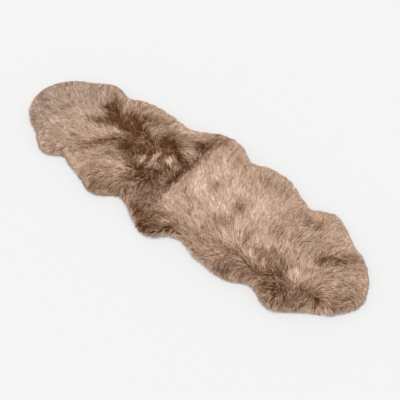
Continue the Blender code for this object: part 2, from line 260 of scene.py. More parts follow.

# Where the wool is parted or brushed up: painted shade as its nap turns away, and with minus painted
# highlights on light tufts. Centre, size along the patch and across it, its angle, and how dark it looks
Patch = namedtuple("Patch", "x y long wide turn dark")
PATCHES = [Patch(*row) for row in (
    (-560, 150, 42, 36, -10, 1.1),
    (-515, 120, 40, 26, -25, 0.8),
    (-445, 142, 70, 42, 5, 1.3),
    (-455, 105, 50, 22, 0, 0.8),
    (-395, 145, 50, 38, 40, 0.9),
    (-330, 125, 36, 26, 0, 0.55),
    (-560, 48, 40, 22, 20, 1),
    (-505, 75, 40, 22, 10, 0.9),
    (-360, 105, 50, 38, 0, 0.75),
    (-345, 45, 60, 42, -40, 0.7),
    (-310, -10, 60, 38, -30, 0.85),
    (-265, 80, 50, 40, 0, 0.6),
    (-225, 160, 62, 42, 20, 1),
    (-165, 155, 50, 30, -20, 0.9),
    (-120, 130, 45, 22, -25, 0.8),
    (-200, 92, 45, 36, 0, 0.95),
    (-230, 40, 50, 35, 0, 0.9),
    (-155, 30, 45, 40, 0, 0.6),
    (-145, 105, 36, 32, 0, 1.3),
    (-80, 85, 35, 50, 0, 0.8),
    (-190, -58, 64, 34, -15, 1.2),
    (-135, -20, 45, 45, 0, 0.65),
    (-115, 235, 42, 22, -10, 0.6),
    (-65, 230, 45, 26, 40, 0.75),
    (-40, 140, 190, 16, 90, 1.1),
    (-42, -80, 120, 9, 90, 0.4),
    (-56, 30, 80, 24, 90, 0.4),
    (-100, -120, 85, 90, 0, 0.42),
    (-200, -130, 80, 60, 0, 0.38),
    (-305, -230, 80, 34, 5, 0.55),
    (-620, -165, 45, 70, 15, 0.22),
    (-350, -130, 60, 50, 0, 0.28),
    (-60, -225, 60, 36, 0, 0.8),
    (-190, -165, 50, 24, 0, 0.5),
    (-105, -200, 45, 24, -25, 0.45),
    (-30, -285, 45, 20, -20, 0.7),
    (-470, -50, 55, 20, 45, 0.75),
    (-410, 5, 40, 32, 45, 0.75),
    (-560, -55, 50, 16, 70, 0.4),
    (-365, -18, 60, 20, 0, 0.42),
    (-470, -95, 42, 28, 30, 0.4),
    (-360, -58, 22, 14, 0, 0.8),
    (-350, -90, 36, 18, 0, 0.3),
    (-350, 208, 50, 28, 20, 0.75),
    (-265, 218, 80, 28, 0, 0.38),
    (-420, 235, 30, 20, 60, 0.25),
    (-540, 195, 40, 22, -50, 0.45),
    (-580, 225, 100, 28, -42, 0.3),
    (-722, 25, 50, 14, 75, 0.5),
    (-755, 45, 40, 8, 10, 0.3),
    (-860, 0, 50, 7, 0, 0.3),
    (-870, 75, 30, 30, 0, 0.22),
    (-690, 90, 35, 22, 20, 0.24),
    (-790, 180, 40, 30, 30, 0.18),
    (-820, -20, 120, 140, 0, 0.22),
    (-670, 220, 75, 45, 0, 0.4),
    (-112, 66, 22, 15, 80, -1.9),
    (-182, 50, 32, 9, 95, -1.8),
    (-160, 15, 18, 9, 80, -1.2),
    (-228, 10, 18, 9, 95, -1.3),
    (-64, 50, 22, 9, 90, -1.4),
    (-440, 52, 60, 13, 10, -0.35),
    (-550, 20, 50, 20, 0, -0.3),
    (-495, -18, 30, 22, 0, -0.4),
    (-555, 258, 36, 22, 0, -0.45),
    (-375, 170, 18, 18, 0, -0.3),
    (-690, -80, 50, 50, 0, -0.25),
    (-645, 40, 35, 40, 0, -0.3),
    (-290, -90, 60, 20, 20, -0.35),
    (-100, 192, 36, 16, -40, -0.35),
    (-160, 265, 70, 20, 0, -0.5),
    (-55, 150, 22, 12, -60, -0.7),
    (295, 52, 36, 24, -40, 0.95),
    (256, 88, 26, 9, 105, 0.4),
    (130, 90, 45, 26, 50, 0.5),
    (258, -42, 40, 28, 0, 0.65),
    (390, -60, 65, 12, 95, 0.7),
    (485, 25, 40, 28, 0, 0.42),
    (605, 85, 40, 22, 80, 0.38),
    (355, 192, 22, 22, 0, 0.28),
    (455, 120, 50, 14, 0, 0.2),
    (560, 180, 55, 26, 0, 0.65),
    (562, 140, 16, 30, 0, 0.3),
    (545, 80, 22, 22, 0, 0.3),
    (380, 250, 50, 26, 0, 0.2),
    (300, 240, 60, 24, 95, 0.4),
    (140, 250, 50, 20, -50, 0.2),
    (220, 200, 30, 20, 90, 0.25),
    (692, 52, 38, 16, 62, 1.1),
    (766, 48, 20, 22, 0, 0.4),
    (742, 78, 28, 20, 45, 1.2),
    (740, 120, 45, 18, 25, 0.28),
    (795, 126, 42, 14, 5, 0.65),
    (835, -70, 35, 18, 10, 0.6),
    (848, -106, 34, 20, 20, 0.4),
    (826, 96, 24, 20, 0, 0.3),
    (862, -36, 24, 14, 30, 0.65),
    (759, -125, 34, 9, -65, 1),
    (715, -135, 55, 24, 5, 0.52),
    (706, -188, 20, 28, 0, 0.3),
    (650, -150, 50, 34, 0, 0.22),
    (680, -116, 85, 7, -3, 0.4),
    (600, -175, 60, 38, 10, 0.85),
    (602, -100, 34, 24, -55, 0.95),
    (568, -38, 18, 22, 0, -0.35),
    (520, -47, 34, 18, -20, 0.7),
    (490, -80, 50, 22, -10, 0.6),
    (480, -150, 50, 30, 0, 0.5),
    (576, -134, 26, 20, 0, 0.6),
    (396, -125, 16, 40, 0, 0.3),
    (555, -105, 30, 22, 0, 0.5),
    (655, -210, 80, 28, 12, 0.5),
    (385, -220, 45, 50, 90, 0.75),
    (450, -190, 30, 30, 0, 0.35),
    (370, -142, 70, 12, -5, 0.65),
    (195, -165, 80, 36, -5, 0.36),
    (300, -180, 40, 24, 0, -0.3),
    (102, -206, 28, 20, 0, 0.75),
    (25, -260, 65, 50, 0, 1),
    (30, -180, 45, 30, 0, 0.35),
    (130, -110, 50, 12, -5, -0.25),
    (150, -225, 50, 18, 0, -0.3),
    (100, -165, 60, 26, -10, 0.45),
    (-10, 300, 50, 44, 0, 0.85),
    (30, 180, 40, 20, 40, 0.15),
    (780, 0, 120, 120, 0, 0.1),
    (80, 30, 70, 30, -40, -0.45),
    (30, 120, 70, 26, -75, -0.4),
    (20, 235, 34, 18, -50, -0.35),
    (140, 155, 130, 50, -50, -0.48),
    (230, 115, 36, 26, 0, -0.5),
    (200, 0, 60, 34, -30, -0.6),
    (325, 0, 40, 40, 0, -0.55),
    (255, 14, 26, 16, -50, -0.4),
    (10, -85, 40, 30, 60, -0.5),
    (350, 110, 80, 56, 60, -0.55),
    (428, 80, 40, 18, 90, -0.4),
    (340, -100, 60, 20, 0, -0.6),
    (430, -20, 40, 24, 80, -0.5),
    (484, -30, 26, 16, 60, -1.1),
    (470, -112, 40, 8, -5, -0.9),
    (512, -112, 12, 5, 85, -0.7),
    (632, -76, 36, 22, -15, -1),
    (696, -56, 24, 18, 40, 0.35),
    (612, -98, 24, 9, 0, -1.3),
    (-435, 141, 36, 26, 0, 0.75),
    (-73, -95, 50, 30, 60, 0.3),
    (-99, 24, 36, 26, 60, 0.45),
    (-340, -241, 50, 30, 0, 0.3),
    (-747, -76, 50, 30, 100, 0.25),
    (511, -135, 36, 26, 0, 0.45),
    (559, -57, 28, 38, 0, 0.45),
    (363, -232, 50, 26, 0, 0.35),
    (-5, 178, 20, 30, 0, 0.4),
    (854, -19, 30, 30, 0, 0.3),
    (243, -176, 50, 40, 0, 0.2),
    (731, -105, 40, 30, 0, 0.25),
    (-235, 272, 50, 30, -30, -0.35),
    (-56, 298, 40, 22, 10, -0.35),
    (-241, -161, 50, 22, 0, -0.4),
    (67, 33, 30, 50, 0, -0.3),
    (198, 20, 40, 50, 0, -0.35),
    (307, 113, 50, 40, 0, -0.3),
    (104, -223, 40, 30, 0, -0.4),
    (-29, -227, 30, 30, 0, -0.3),
    (405, -9, 50, 30, 0, -0.25),
    (624, -127, 30, 30, 0, -0.35),
    (742, 3, 30, 20, 0, -0.3),
    (732, 200, 40, 30, -60, -0.25),
    (-180, -218, 30, 22, 0, -0.3),
    (431, 274, 40, 30, 0, -0.3),
    (-351, 206, 40, 30, 0, -0.25),
    (-340, -152, 45, 22, 10, 0.25),
    (-240, -198, 40, 20, 20, 0.25),
    (484, -24, 50, 30, -20, 0.3),
    (636, -86, 26, 26, 0, 0.3),
    (703, 5, 30, 24, 0, 0.3),
    (230, -82, 35, 30, 0, 0.3),
    (280, 47, 30, 22, 0, 0.3),
    (446, -128, 24, 22, 0, 0.3),
    (821, -111, 40, 24, 0, 0.25),
    (593, -219, 30, 24, 0, 0.25),
    (-20, -291, 40, 24, 0, 0.4),
    (-158, -21, 50, 26, 60, -0.3),
    (-15, -115, 30, 26, 0, -0.3),
    (192, -138, 35, 35, 0, -0.3),
    (198, 163, 45, 35, -30, -0.3),
    (770, 90, 24, 20, 0, -0.3),
    (866, -31, 30, 30, 0, -0.25),
    (654, -213, 40, 30, 0, -0.35),
    (777, -130, 26, 22, 0, -0.3),
    (-392, -78, 40, 24, 0, -0.25),
    (-779, -18, 30, 30, 0, -0.25),
    (64, 139, 40, 30, 0, -0.25),
    (340, -266, 30, 24, 0, -0.35),
    (300, -89, 30, 30, 0, -0.25),
    (-820, -30, 90, 60, 100, 0.16),
    (-710, -150, 60, 50, 0, 0.13),
    (-435, 150, 30, 20, 0, 0.4),
    (-150, 255, 60, 30, -30, -0.25),
    (340, 60, 50, 30, 0, -0.2),
    (720, 180, 30, 60, -30, -0.25),
)]


def linear(hex_colour):
    """A #RRGGBB colour as the linear red, green, blue and alpha that Blender works in."""
    parts = [int(hex_colour[i : i + 2], 16) / 255 for i in (1, 3, 5)]
    return (*[c / 12.92 if c <= 0.04045 else ((c + 0.055) / 1.055) ** 2.4 for c in parts], 1.0)


class RugWoolSettings(bpy.types.PropertyGroup):
    """Sizes and colours of the wool."""

    tuft_spacing: FloatProperty(
        name="Tuft spacing", description="Distance between tufts", default=0.0120, unit="LENGTH"
    )
    locks_per_tuft: IntProperty(name="Locks", description="Locks in each tuft", default=8)
    lock_length: FloatProperty(
        name="Length", description="Reach of a flat-lying lock from its root", default=0.058, unit="LENGTH"
    )
    lock_radius: FloatProperty(
        name="Radius", description="Radius of a lock near its root", default=0.0020, unit="LENGTH"
    )
    wander: FloatProperty(
        name="Wander", description="How far tufts turn off their combed way", default=0.45, subtype="ANGLE"
    )
    light_tip: StringProperty(name="Tips", description="Colour of the wool's tips", default="#FADCC4")
    # Painted highlight: the colour that light tufts and the tips at the rim are paled towards
    painted_highlight: StringProperty(name="Bleached", description="Colour of the palest wool", default="#FFE3CB")
    light_middle: StringProperty(
        name="Lengths", description="Colour of the wool halfway along", default="#CBA588"
    )
    light_root: StringProperty(name="Roots", description="Colour of the wool's roots", default="#9A775A")
    # Painted shade: darker colours given to the wool where its nap turns away, in place of shade
    painted_shade_tip: StringProperty(
        name="Parted tips", description="Colour of the tips where the wool is parted", default="#8A5931"
    )
    painted_shade_root: StringProperty(
        name="Parted roots", description="Colour of the roots where the wool is parted", default="#402109"
    )


class RugHideSettings(bpy.types.PropertyGroup):
    """Sizes of the hides and of the dense wool close to them."""

    hide_thickness: FloatProperty(
        name="Hide", description="Thickness of the tanned hide", default=0.002, unit="LENGTH"
    )
    grid_cell: FloatProperty(
        name="Cell", description="Cell of the hide's and undercoat's mesh", default=0.010, unit="LENGTH"
    )
    undercoat_share: FloatProperty(
        name="Undercoat", description="Undercoat's share of the wool's height", default=0.84, subtype="FACTOR"
    )
    hide_colour: StringProperty(name="Hide colour", description="Colour of the suede side", default="#C9B08F")


class RugStageSettings(bpy.types.PropertyGroup):
    """The floor, the lights and the camera."""

    floor_colour: StringProperty(name="Floor", description="Colour of the floor", default="#DCDCDC")
    sky_strength: FloatProperty(name="Fill", description="Strength of the light all round", default=0.92)
    key_strength: FloatProperty(name="Key", description="Strength of the main light", default=1.14)
    camera_place: FloatVectorProperty(
        name="Camera", description="Where the camera stands", default=(1.044, -1.258, 2.103), unit="LENGTH"
    )
    camera_target: FloatVectorProperty(
        name="Target", description="Where the camera looks", default=(0.113, -0.046, 0.0), unit="LENGTH"
    )
    lens_mm: FloatProperty(name="Lens", description="Focal length in millimetres", default=53.65)


class Survey:
    """Maps of the wool's height and of the way out over the rim, read from the two solids from above."""

    def __init__(self):
        lo, hi = CAD_BOX
        self.x0, self.y0 = lo.x - SURVEY_PAD, lo.y - SURVEY_PAD
        columns = math.ceil((hi.x + SURVEY_PAD - self.x0) / SURVEY_CELL) + 1
        rows = math.ceil((hi.y + SURVEY_PAD - self.y0) / SURVEY_CELL) + 1
        self.raw = np.zeros((rows, columns))
        down = Vector((0, 0, -1))
        for tree in [pelt_tree(pelt) for pelt in PELTS]:
            for row in range(rows):
                for column in range(columns):
                    start = Vector((self.x0 + column * SURVEY_CELL, self.y0 + row * SURVEY_CELL, 1.0))
                    hit = tree.ray_cast(start, down)[0]
                    if hit is not None:
                        self.raw[row, column] = max(self.raw[row, column], hit.z)
        self.height = soften(self.raw, HEIGHT_SOFTNESS)
        self.inside = soften((self.raw > SLAB_LEAST).astype(float), RIM_SOFTNESS)
        slope_y, slope_x = np.gradient(self.inside, SURVEY_CELL)
        self.out_x, self.out_y = -slope_x, -slope_y

    def read(self, chart, x, y):
        """A chart's values at places on the rug, blended between its cells.

        Places stop just short of the last row and column, because each is blended with the next.
        """
        column = np.clip((x - self.x0) / SURVEY_CELL, 0, chart.shape[1] - 1.001)
        row = np.clip((y - self.y0) / SURVEY_CELL, 0, chart.shape[0] - 1.001)
        i, j = row.astype(int), column.astype(int)
        u, v = row - i, column - j
        low = chart[i, j] * (1 - v) + chart[i, j + 1] * v
        high = chart[i + 1, j] * (1 - v) + chart[i + 1, j + 1] * v
        return low * (1 - u) + high * u


@functools.cache
def survey_of_solids():
    """The survey, made when it is first asked for and then kept."""
    return Survey()


def pelt_tree(pelt):
    """A search tree of a pelt's solid."""
    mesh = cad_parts[pelt].data
    return BVHTree.FromPolygons([v.co for v in mesh.vertices], [p.vertices for p in mesh.polygons])


def soften(chart, by):
    """The chart blurred with a bell curve of the given width in metres."""
    reach = math.ceil(3 * by / SURVEY_CELL)
    bell = np.exp(-0.5 * (np.arange(-reach, reach + 1) * SURVEY_CELL / by) ** 2)
    bell /= bell.sum()
    for axis in (0, 1):
        chart = np.apply_along_axis(np.convolve, axis, chart, bell, mode="same")
    return chart


def noise_at(x, y, layer, spacing):
    """Smooth noise from about -1 to 1 at places on the rug, with its own pattern for each layer."""
    return np.array([noise.noise(Vector((a / spacing, b / spacing, layer))) for a, b in zip(x, y)])


def patch_share(patch, x, y):
    """1 at the middle of a patch, falling smoothly to 0 outside it, at places in the table's millimetres."""
    turn = math.radians(patch.turn)
    along = (x - patch.x) * math.cos(turn) + (y - patch.y) * math.sin(turn)
    across = (y - patch.y) * math.cos(turn) - (x - patch.x) * math.sin(turn)
    return np.exp(-((along / patch.long) ** 2) - (across / patch.wide) ** 2)


def darkness(x, y):
    """Painted shading at places on the rug: -1 for highlights on pale tufts, over 1 for shade where parted."""
    x, y = x - TABLE_ORIGIN[0], y - TABLE_ORIGIN[1]
    x = x + EDGE_WANDER * noise_at(x, y, *EDGE_WANDER_X)
    y = y + EDGE_WANDER * noise_at(x, y, *EDGE_WANDER_Y)
    cloud = CLOUDING * (noise_at(x, y, *BROAD_CLOUDS) + noise_at(x, y, *FINE_CLOUDS))
    x, y = MM * x, MM * y
    dark = sum(patch.dark * patch_share(patch, x, y) for patch in PATCHES if patch.dark > 0)
    light = sum(patch.dark * patch_share(patch, x, y) for patch in PATCHES if patch.dark < 0)
    return np.clip(np.minimum(dark, PATCH_LIMIT) * (1 + cloud) + light + cloud, -1, DARKEST)


def combing(x, y):
    """The heading and lean of the wool, from the guides on the same side of the seam."""
    seam = MM * (SEAM_X - TABLE_ORIGIN[0])
    x, y = MM * (x - TABLE_ORIGIN[0]), MM * (y - TABLE_ORIGIN[1])
    weights, way_x, way_y, lean = (np.full(len(x), TINY) for _ in range(4))
    for guide in GUIDES:
        near = np.exp(-((x - guide.x) ** 2 + (y - guide.y) ** 2) / guide.reach**2)
        near *= (GUIDE_REACH / guide.reach) ** 2
        near = np.where((x > seam) == (guide.x > seam), near + GUIDE_LEAST, 0.0)
        weights += near
        way_x += near * math.cos(math.radians(guide.heading))
        way_y += near * math.sin(math.radians(guide.heading))
        lean += near * guide.lean
    agreed = np.hypot(way_x, way_y) / weights
    return np.arctan2(way_y, way_x), lean / weights * (CROSSED_LEAN + (1 - CROSSED_LEAN) * agreed)


def scattered(survey, spacing, pelt, random):
    """Uneven rows of places over a pelt, as x and y."""
    lo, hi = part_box(pelt)
    rows = np.arange(lo.y, hi.y, spacing * math.sqrt(3) / 2)
    columns = np.arange(lo.x, hi.x, spacing)
    x, y = np.meshgrid(columns, rows)
    x = x + spacing / 2 * (np.arange(len(rows)) % 2)[:, None]
    x, y = x.ravel(), y.ravel()
    x = x + random.uniform(-ROW_JITTER, ROW_JITTER, len(x)) * spacing
    y = y + random.uniform(-ROW_JITTER, ROW_JITTER, len(y)) * spacing
    kept = (survey.read(survey.raw, x, y) > SLAB_LEAST) & (x > lo.x) & (x < hi.x)
    return x[kept], y[kept]


def lock_shape():
    """One lock as a closed three-sided spike of unit radius and length: its points, faces and strand map.

    In the strand map, the cap takes the lowest strip, and the three sides stand above it side by side.
    """
    bm = bmesh.new()
    bmesh.ops.create_cone(bm, cap_ends=True, segments=3, radius1=1.0, radius2=0.0, depth=1.0)
    bmesh.ops.translate(bm, verts=bm.verts, vec=(0, 0, 0.5))
    for share in STATIONS[1:-1]:
        geom = bm.verts[:] + bm.edges[:] + bm.faces[:]
        bmesh.ops.bisect_plane(bm, geom=geom, plane_co=(0, 0, share), plane_no=(0, 0, 1))
    bmesh.ops.recalc_face_normals(bm, faces=bm.faces)
    bm.verts.index_update()
    points = np.array([v.co for v in bm.verts])
    faces = [[v.index for v in face.verts] for face in bm.faces]
    strand = []
    for face in bm.faces:
        middle = face.calc_center_median()
        side = math.atan2(middle.y, middle.x)
        for vert in face.verts:
            if face.normal.z < -0.9:
                strand.append((0.5 + 0.4 * vert.co.x, 0.04 + 0.03 * vert.co.y))
                continue
            turn = math.atan2(vert.co.y, vert.co.x) - side if vert.co.xy.length > NUDGE else 0.0
            turn = (turn + math.pi) % (2 * math.pi) - math.pi
            place = (round(side / (2 * math.pi / 3)) % 3 + 0.5) / 3 + turn / (2 * math.pi)
            strand.append((place, 0.1 + 0.88 * vert.co.z))
    bm.free()
    return points, faces, np.array(strand)


def unit(vectors):
    """The vectors at length 1."""
    return vectors / np.maximum(np.linalg.norm(vectors, axis=-1, keepdims=True), TINY)


def sideways(way):
    """The directions square to the given ones, to their left."""
    return np.stack([-way[:, 1], way[:, 0]], -1)


def near_seam(x):
    """1 at the seam, falling smoothly to 0 within a few times the reach of the locks that hang over it."""
    return np.exp(-(((x - SEAM_X) / SEAM_REACH) ** 2))


def by_rim(pair, rim):
    """A value that goes from the first of a pair inside the rug to the second at its rim."""
    return pair[0] + (pair[1] - pair[0]) * rim


class Locks:
    """All the locks on one pelt: where they grow, how they lie, their sizes and their tones."""

    def __init__(self, survey, pelt, wool, random):
        x, y = scattered(survey, wool.tuft_spacing, pelt, random)
        self.side = math.copysign(1.0, x.mean() - SEAM_X)
        way, lean, rim = self.comb(survey, x, y, wool)
        tuft_tone = TUFT_CLOUDING * noise_at(x, y, *TUFT_CLOUDS)
        tuft_tone += random.normal(0, TUFT_TONE_SPREAD, len(x))
        many = wool.locks_per_tuft
        self.tuft = np.repeat(np.stack([x, y], -1), many, 0)
        self.way, self.lean, self.rim = (np.repeat(value, many, 0) for value in (way, lean, rim))
        self.root = self.spread_roots(survey, wool, random)
        count = len(self.root)
        self.bend = np.repeat(random.normal(0, BEND, len(x)), many)
        self.tone = np.repeat(tuft_tone, many) * by_rim(TUFT_TONE, self.rim)
        self.tone += random.normal(0, LOCK_TONE_SPREAD, count)
        tuft_length = np.repeat(random.uniform(*TUFT_LENGTHS, len(x)), many)
        self.length = wool.lock_length * tuft_length * random.uniform(*LOCK_LENGTHS, count)
        self.fan = random.normal(0, 1, count) * by_rim(FAN, self.rim)
        self.turn = random.uniform(0, 2 * math.pi, count)
        self.crimp = np.zeros((len(STATIONS), count))
        self.crimp[1:-1] = CRIMP * random.normal(0, 1, (len(STATIONS) - 2, count))
        self.lift = random.normal(0, 1, count)
        self.slip = TONE_SLIP * random.normal(0, 1, count)
        self.radius = wool.lock_radius * random.uniform(*LOCK_RADII, count) * by_rim(THICKNESS, self.rim)

    def comb(self, survey, x, y, wool):
        """The way, the lean and the nearness to the rim of each tuft.

        Tufts follow the guides and swirl a little. They stand up where the wool is parted, turn out over the
        rim, and turn along the seam where they head over it.
        """
        heading, lean = combing(x, y)
        shown = SHOWN_SHARE * wool.lock_length * lean
        # Where shade is painted, the wool also stands up and swirls more
        shadowed = np.maximum(darkness(x + shown * np.cos(heading), y + shown * np.sin(heading)), 0)
        swirl = BROAD_SWIRLING * noise_at(x, y, *BROAD_SWIRLS) + FINE_SWIRLING * noise_at(x, y, *FINE_SWIRLS)
        heading = heading + wool.wander * swirl * (1 + shadowed)
        way = np.stack([np.cos(heading), np.sin(heading)], -1)
        outward = unit(np.stack([survey.read(survey.out_x, x, y), survey.read(survey.out_y, x, y)], -1))
        rim = np.clip((TURN_LEVEL - survey.read(survey.inside, x, y)) / TURN_BLEND, 0, 1) ** TURN_CURVE
        way = unit(way * (1 - rim)[:, None] + outward * (OUTWARD_PULL * rim)[:, None])
        over_seam = way[:, 0] * self.side < 0
        way[:, 0] *= np.where(over_seam, 1 - SEAM_TURN * near_seam(x), 1.0)
        lean = np.clip(lean - PARTED_LIFT * shadowed, LEAN_LEAST, 1)
        return unit(way), np.maximum(lean, RIM_LEAN * rim), rim

    def spread_roots(self, survey, wool, random):
        """Roots spread round the middle of each tuft, on their own side of the seam and away from the rim."""
        angle = random.uniform(0, 2 * math.pi, len(self.tuft))
        radius = wool.tuft_spacing * TUFT_RADIUS * np.sqrt(random.uniform(0, 1, len(self.tuft)))
        root = self.tuft + self.way * (by_rim(ROOTS_ALONG, self.rim) * radius * np.cos(angle))[:, None]
        root += sideways(self.way) * (by_rim(ROOTS_ACROSS, self.rim) * radius * np.sin(angle))[:, None]
        root[:, 0] = SEAM_X + self.side * np.maximum(self.side * (root[:, 0] - SEAM_X), SEAM_GAP)
        covered = survey.read(survey.inside, root[:, 0], root[:, 1]) > ROOT_LEVEL
        return np.where(covered[:, None], root, self.tuft)

    def room(self, survey, start, course, reach):
        """How far each lock can go before its tip passes the edge of the wool."""
        level = RIM_LEVEL + RIM_UNEVEN * self.lift
        room = np.full(len(reach), np.inf)
        for share in np.linspace(1.0, 1 / ROOM_STEPS, ROOM_STEPS):
            place = start + course * (reach * share)[:, None]
            inside = survey.read(survey.inside, place[:, 0], place[:, 1])
            room = np.where(inside < level, reach * share, room)
        return room

    def paths(self, survey):
        """The points along each lock, from its root in the undercoat to its tip on the wool's surface."""
        cos, sin = np.cos(self.fan), np.sin(self.fan)
        x, y = self.way.T
        way = np.stack([x * cos - y * sin, x * sin + y * cos], -1)
        aside = sideways(way)
        gather = (self.tuft - self.root) * by_rim(GATHER, self.rim)[:, None]
        sweep = aside * (self.bend * (1 - self.rim))[:, None]
        reach = self.length * (UPRIGHT_REACH + (1 - UPRIGHT_REACH) * self.lean)
        reach = np.minimum(reach, self.room(survey, self.root + gather, way + sweep, reach))[:, None]
        points = []
        for share, rise, crimp in zip(STATIONS, RISE, self.crimp):
            place = self.root + gather * share + reach * (way * share**WAY_CURVE + sweep * share**2)
            place = place + aside * crimp[:, None]
            surface = survey.read(survey.height, place[:, 0], place[:, 1])
            z = surface * (rise + UPRIGHT_RISE * (1 - self.lean) * share) + TIP_UNEVEN * share * self.lift
            least = TIP_LEAST + (ROOT_LEAST - TIP_LEAST) * (1 - share)
            points.append(np.column_stack([place, np.maximum(z, least)]))
        return np.stack(points, 1)

    def painted_shading(self, paths):
        """The painted shading of each lock at its points, shade above 0 and highlight below.

        The places are slipped along the lock so that the patches' edges are hairy. At the seam a lock keeps
        the tone of its root, so that light wool hangs over the seam's painted shadow line.
        """
        x = paths[..., 0] + (self.way[:, 0] * self.slip)[:, None]
        y = paths[..., 1] + (self.way[:, 1] * self.slip)[:, None]
        x = x + near_seam(self.tuft[:, :1]) * (self.tuft[:, :1] - paths[..., 0])
        dark = darkness(x.ravel(), y.ravel()).reshape(x.shape)
        dark = dark - TONE_SPREAD * self.tone[:, None] * np.maximum(dark, 0)
        # Painted glow: the tips at the rim are paled towards the painted highlight
        return dark - RIM_GLOW * self.rim[:, None] * np.array(STATIONS) ** RIM_GLOW_CURVE


def lock_points(paths, locks, chosen, shape):
    """Points of the chosen locks, each a copy of the shape drawn along its path, and each point's station."""
    spine = paths[chosen]
    tangent = unit(np.gradient(spine, axis=1))
    side = unit(np.cross(tangent, (0.0, 0.0, 1.0)) + NUDGE)
    normal = np.cross(side, tangent)
    points = shape[0]
    station = np.rint(points[:, 2] * (len(STATIONS) - 1)).astype(int)
    taper = np.array(TAPER)[station]
    around = np.arctan2(points[:, 1], points[:, 0])[None, :] + locks.turn[chosen][:, None]
    radius = locks.radius[chosen][:, None] * taper[None, :]
    made = spine[:, station]
    made = made + side[:, station] * (radius * np.cos(around))[..., None]
    made = made + normal[:, station] * (radius * np.sin(around))[..., None]
    made[..., 2] = np.maximum(made[..., 2], FLOOR_GAP)
    return made, station


def wool_mesh(name, paths, painted_shading, locks, chosen, shape):
    """A mesh of the chosen locks, with its attributes, its strand map and a bake map without overlaps."""
    made, station = lock_points(paths, locks, chosen, shape)
    _, faces, strand = shape
    count, corners = made.shape[:2]
    sizes = np.array([len(face) for face in faces])
    loop_verts = np.concatenate(faces)
    starts = np.concatenate([[0], np.cumsum(sizes)[:-1]])
    total = sizes.sum()
    mesh = bpy.data.meshes.new(name)
    mesh.vertices.add(count * corners)
    mesh.vertices.foreach_set("co", made.ravel())
    mesh.loops.add(count * total)
    mesh.loops.foreach_set("vertex_index", (loop_verts[None] + corners * np.arange(count)[:, None]).ravel())
    mesh.polygons.add(count * len(sizes))
    mesh.polygons.foreach_set("loop_start", (starts[None] + total * np.arange(count)[:, None]).ravel())
    mesh.polygons.foreach_set("use_smooth", np.ones(count * len(sizes), bool))
    mesh.update(calc_edges=True)
    values = {
        "along": np.tile(station / (len(STATIONS) - 1), count),
        "tone": np.repeat(locks.tone[chosen], corners),
        # painted shade and painted highlight of each point
        "shadowed": painted_shading[chosen][:, station].ravel(),
    }
    for attribute, value in values.items():
        mesh.attributes.new(attribute, "FLOAT", "POINT").data.foreach_set("value", value)
    cells = math.ceil(math.sqrt(count))
    corner = np.stack([np.arange(count) % cells, np.arange(count) // cells], -1)
    laid = (corner[:, None] + BAKE_MARGIN + (1 - 2 * BAKE_MARGIN) * strand[None]) / cells
    mesh.uv_layers.new(name="OFBake").data.foreach_set("uv", laid.ravel())
    mesh.uv_layers.new(name="strand").data.foreach_set("uv", np.tile(strand, (count, 1)).ravel())
    return mesh


def add_node(material, kind, values=None, stops=(), **settings):
    """Adds a node with its settings and its ramp's stops if it has any, and sets or links its inputs."""
    made = material.node_tree.nodes.new(kind)
    for name, value in settings.items():
        setattr(made, name, value)
    for name, value in (values or {}).items():
        if isinstance(value, bpy.types.NodeSocket):
            material.node_tree.links.new(value, made.inputs[name])
        else:
            made.inputs[name].default_value = value
    for _ in stops[2:]:
        made.color_ramp.elements.new(0.5)
    for number, (place, colour) in enumerate(stops):
        made.color_ramp.elements[number].position = place
        made.color_ramp.elements[number].color = linear(colour)
    return made


def new_material(name):
    """A new material, its shader, and add_node for its own nodes."""
    material = bpy.data.materials.new(name)
    material.use_nodes = True
    return material, material.node_tree.nodes["Principled BSDF"], functools.partial(add_node, material)


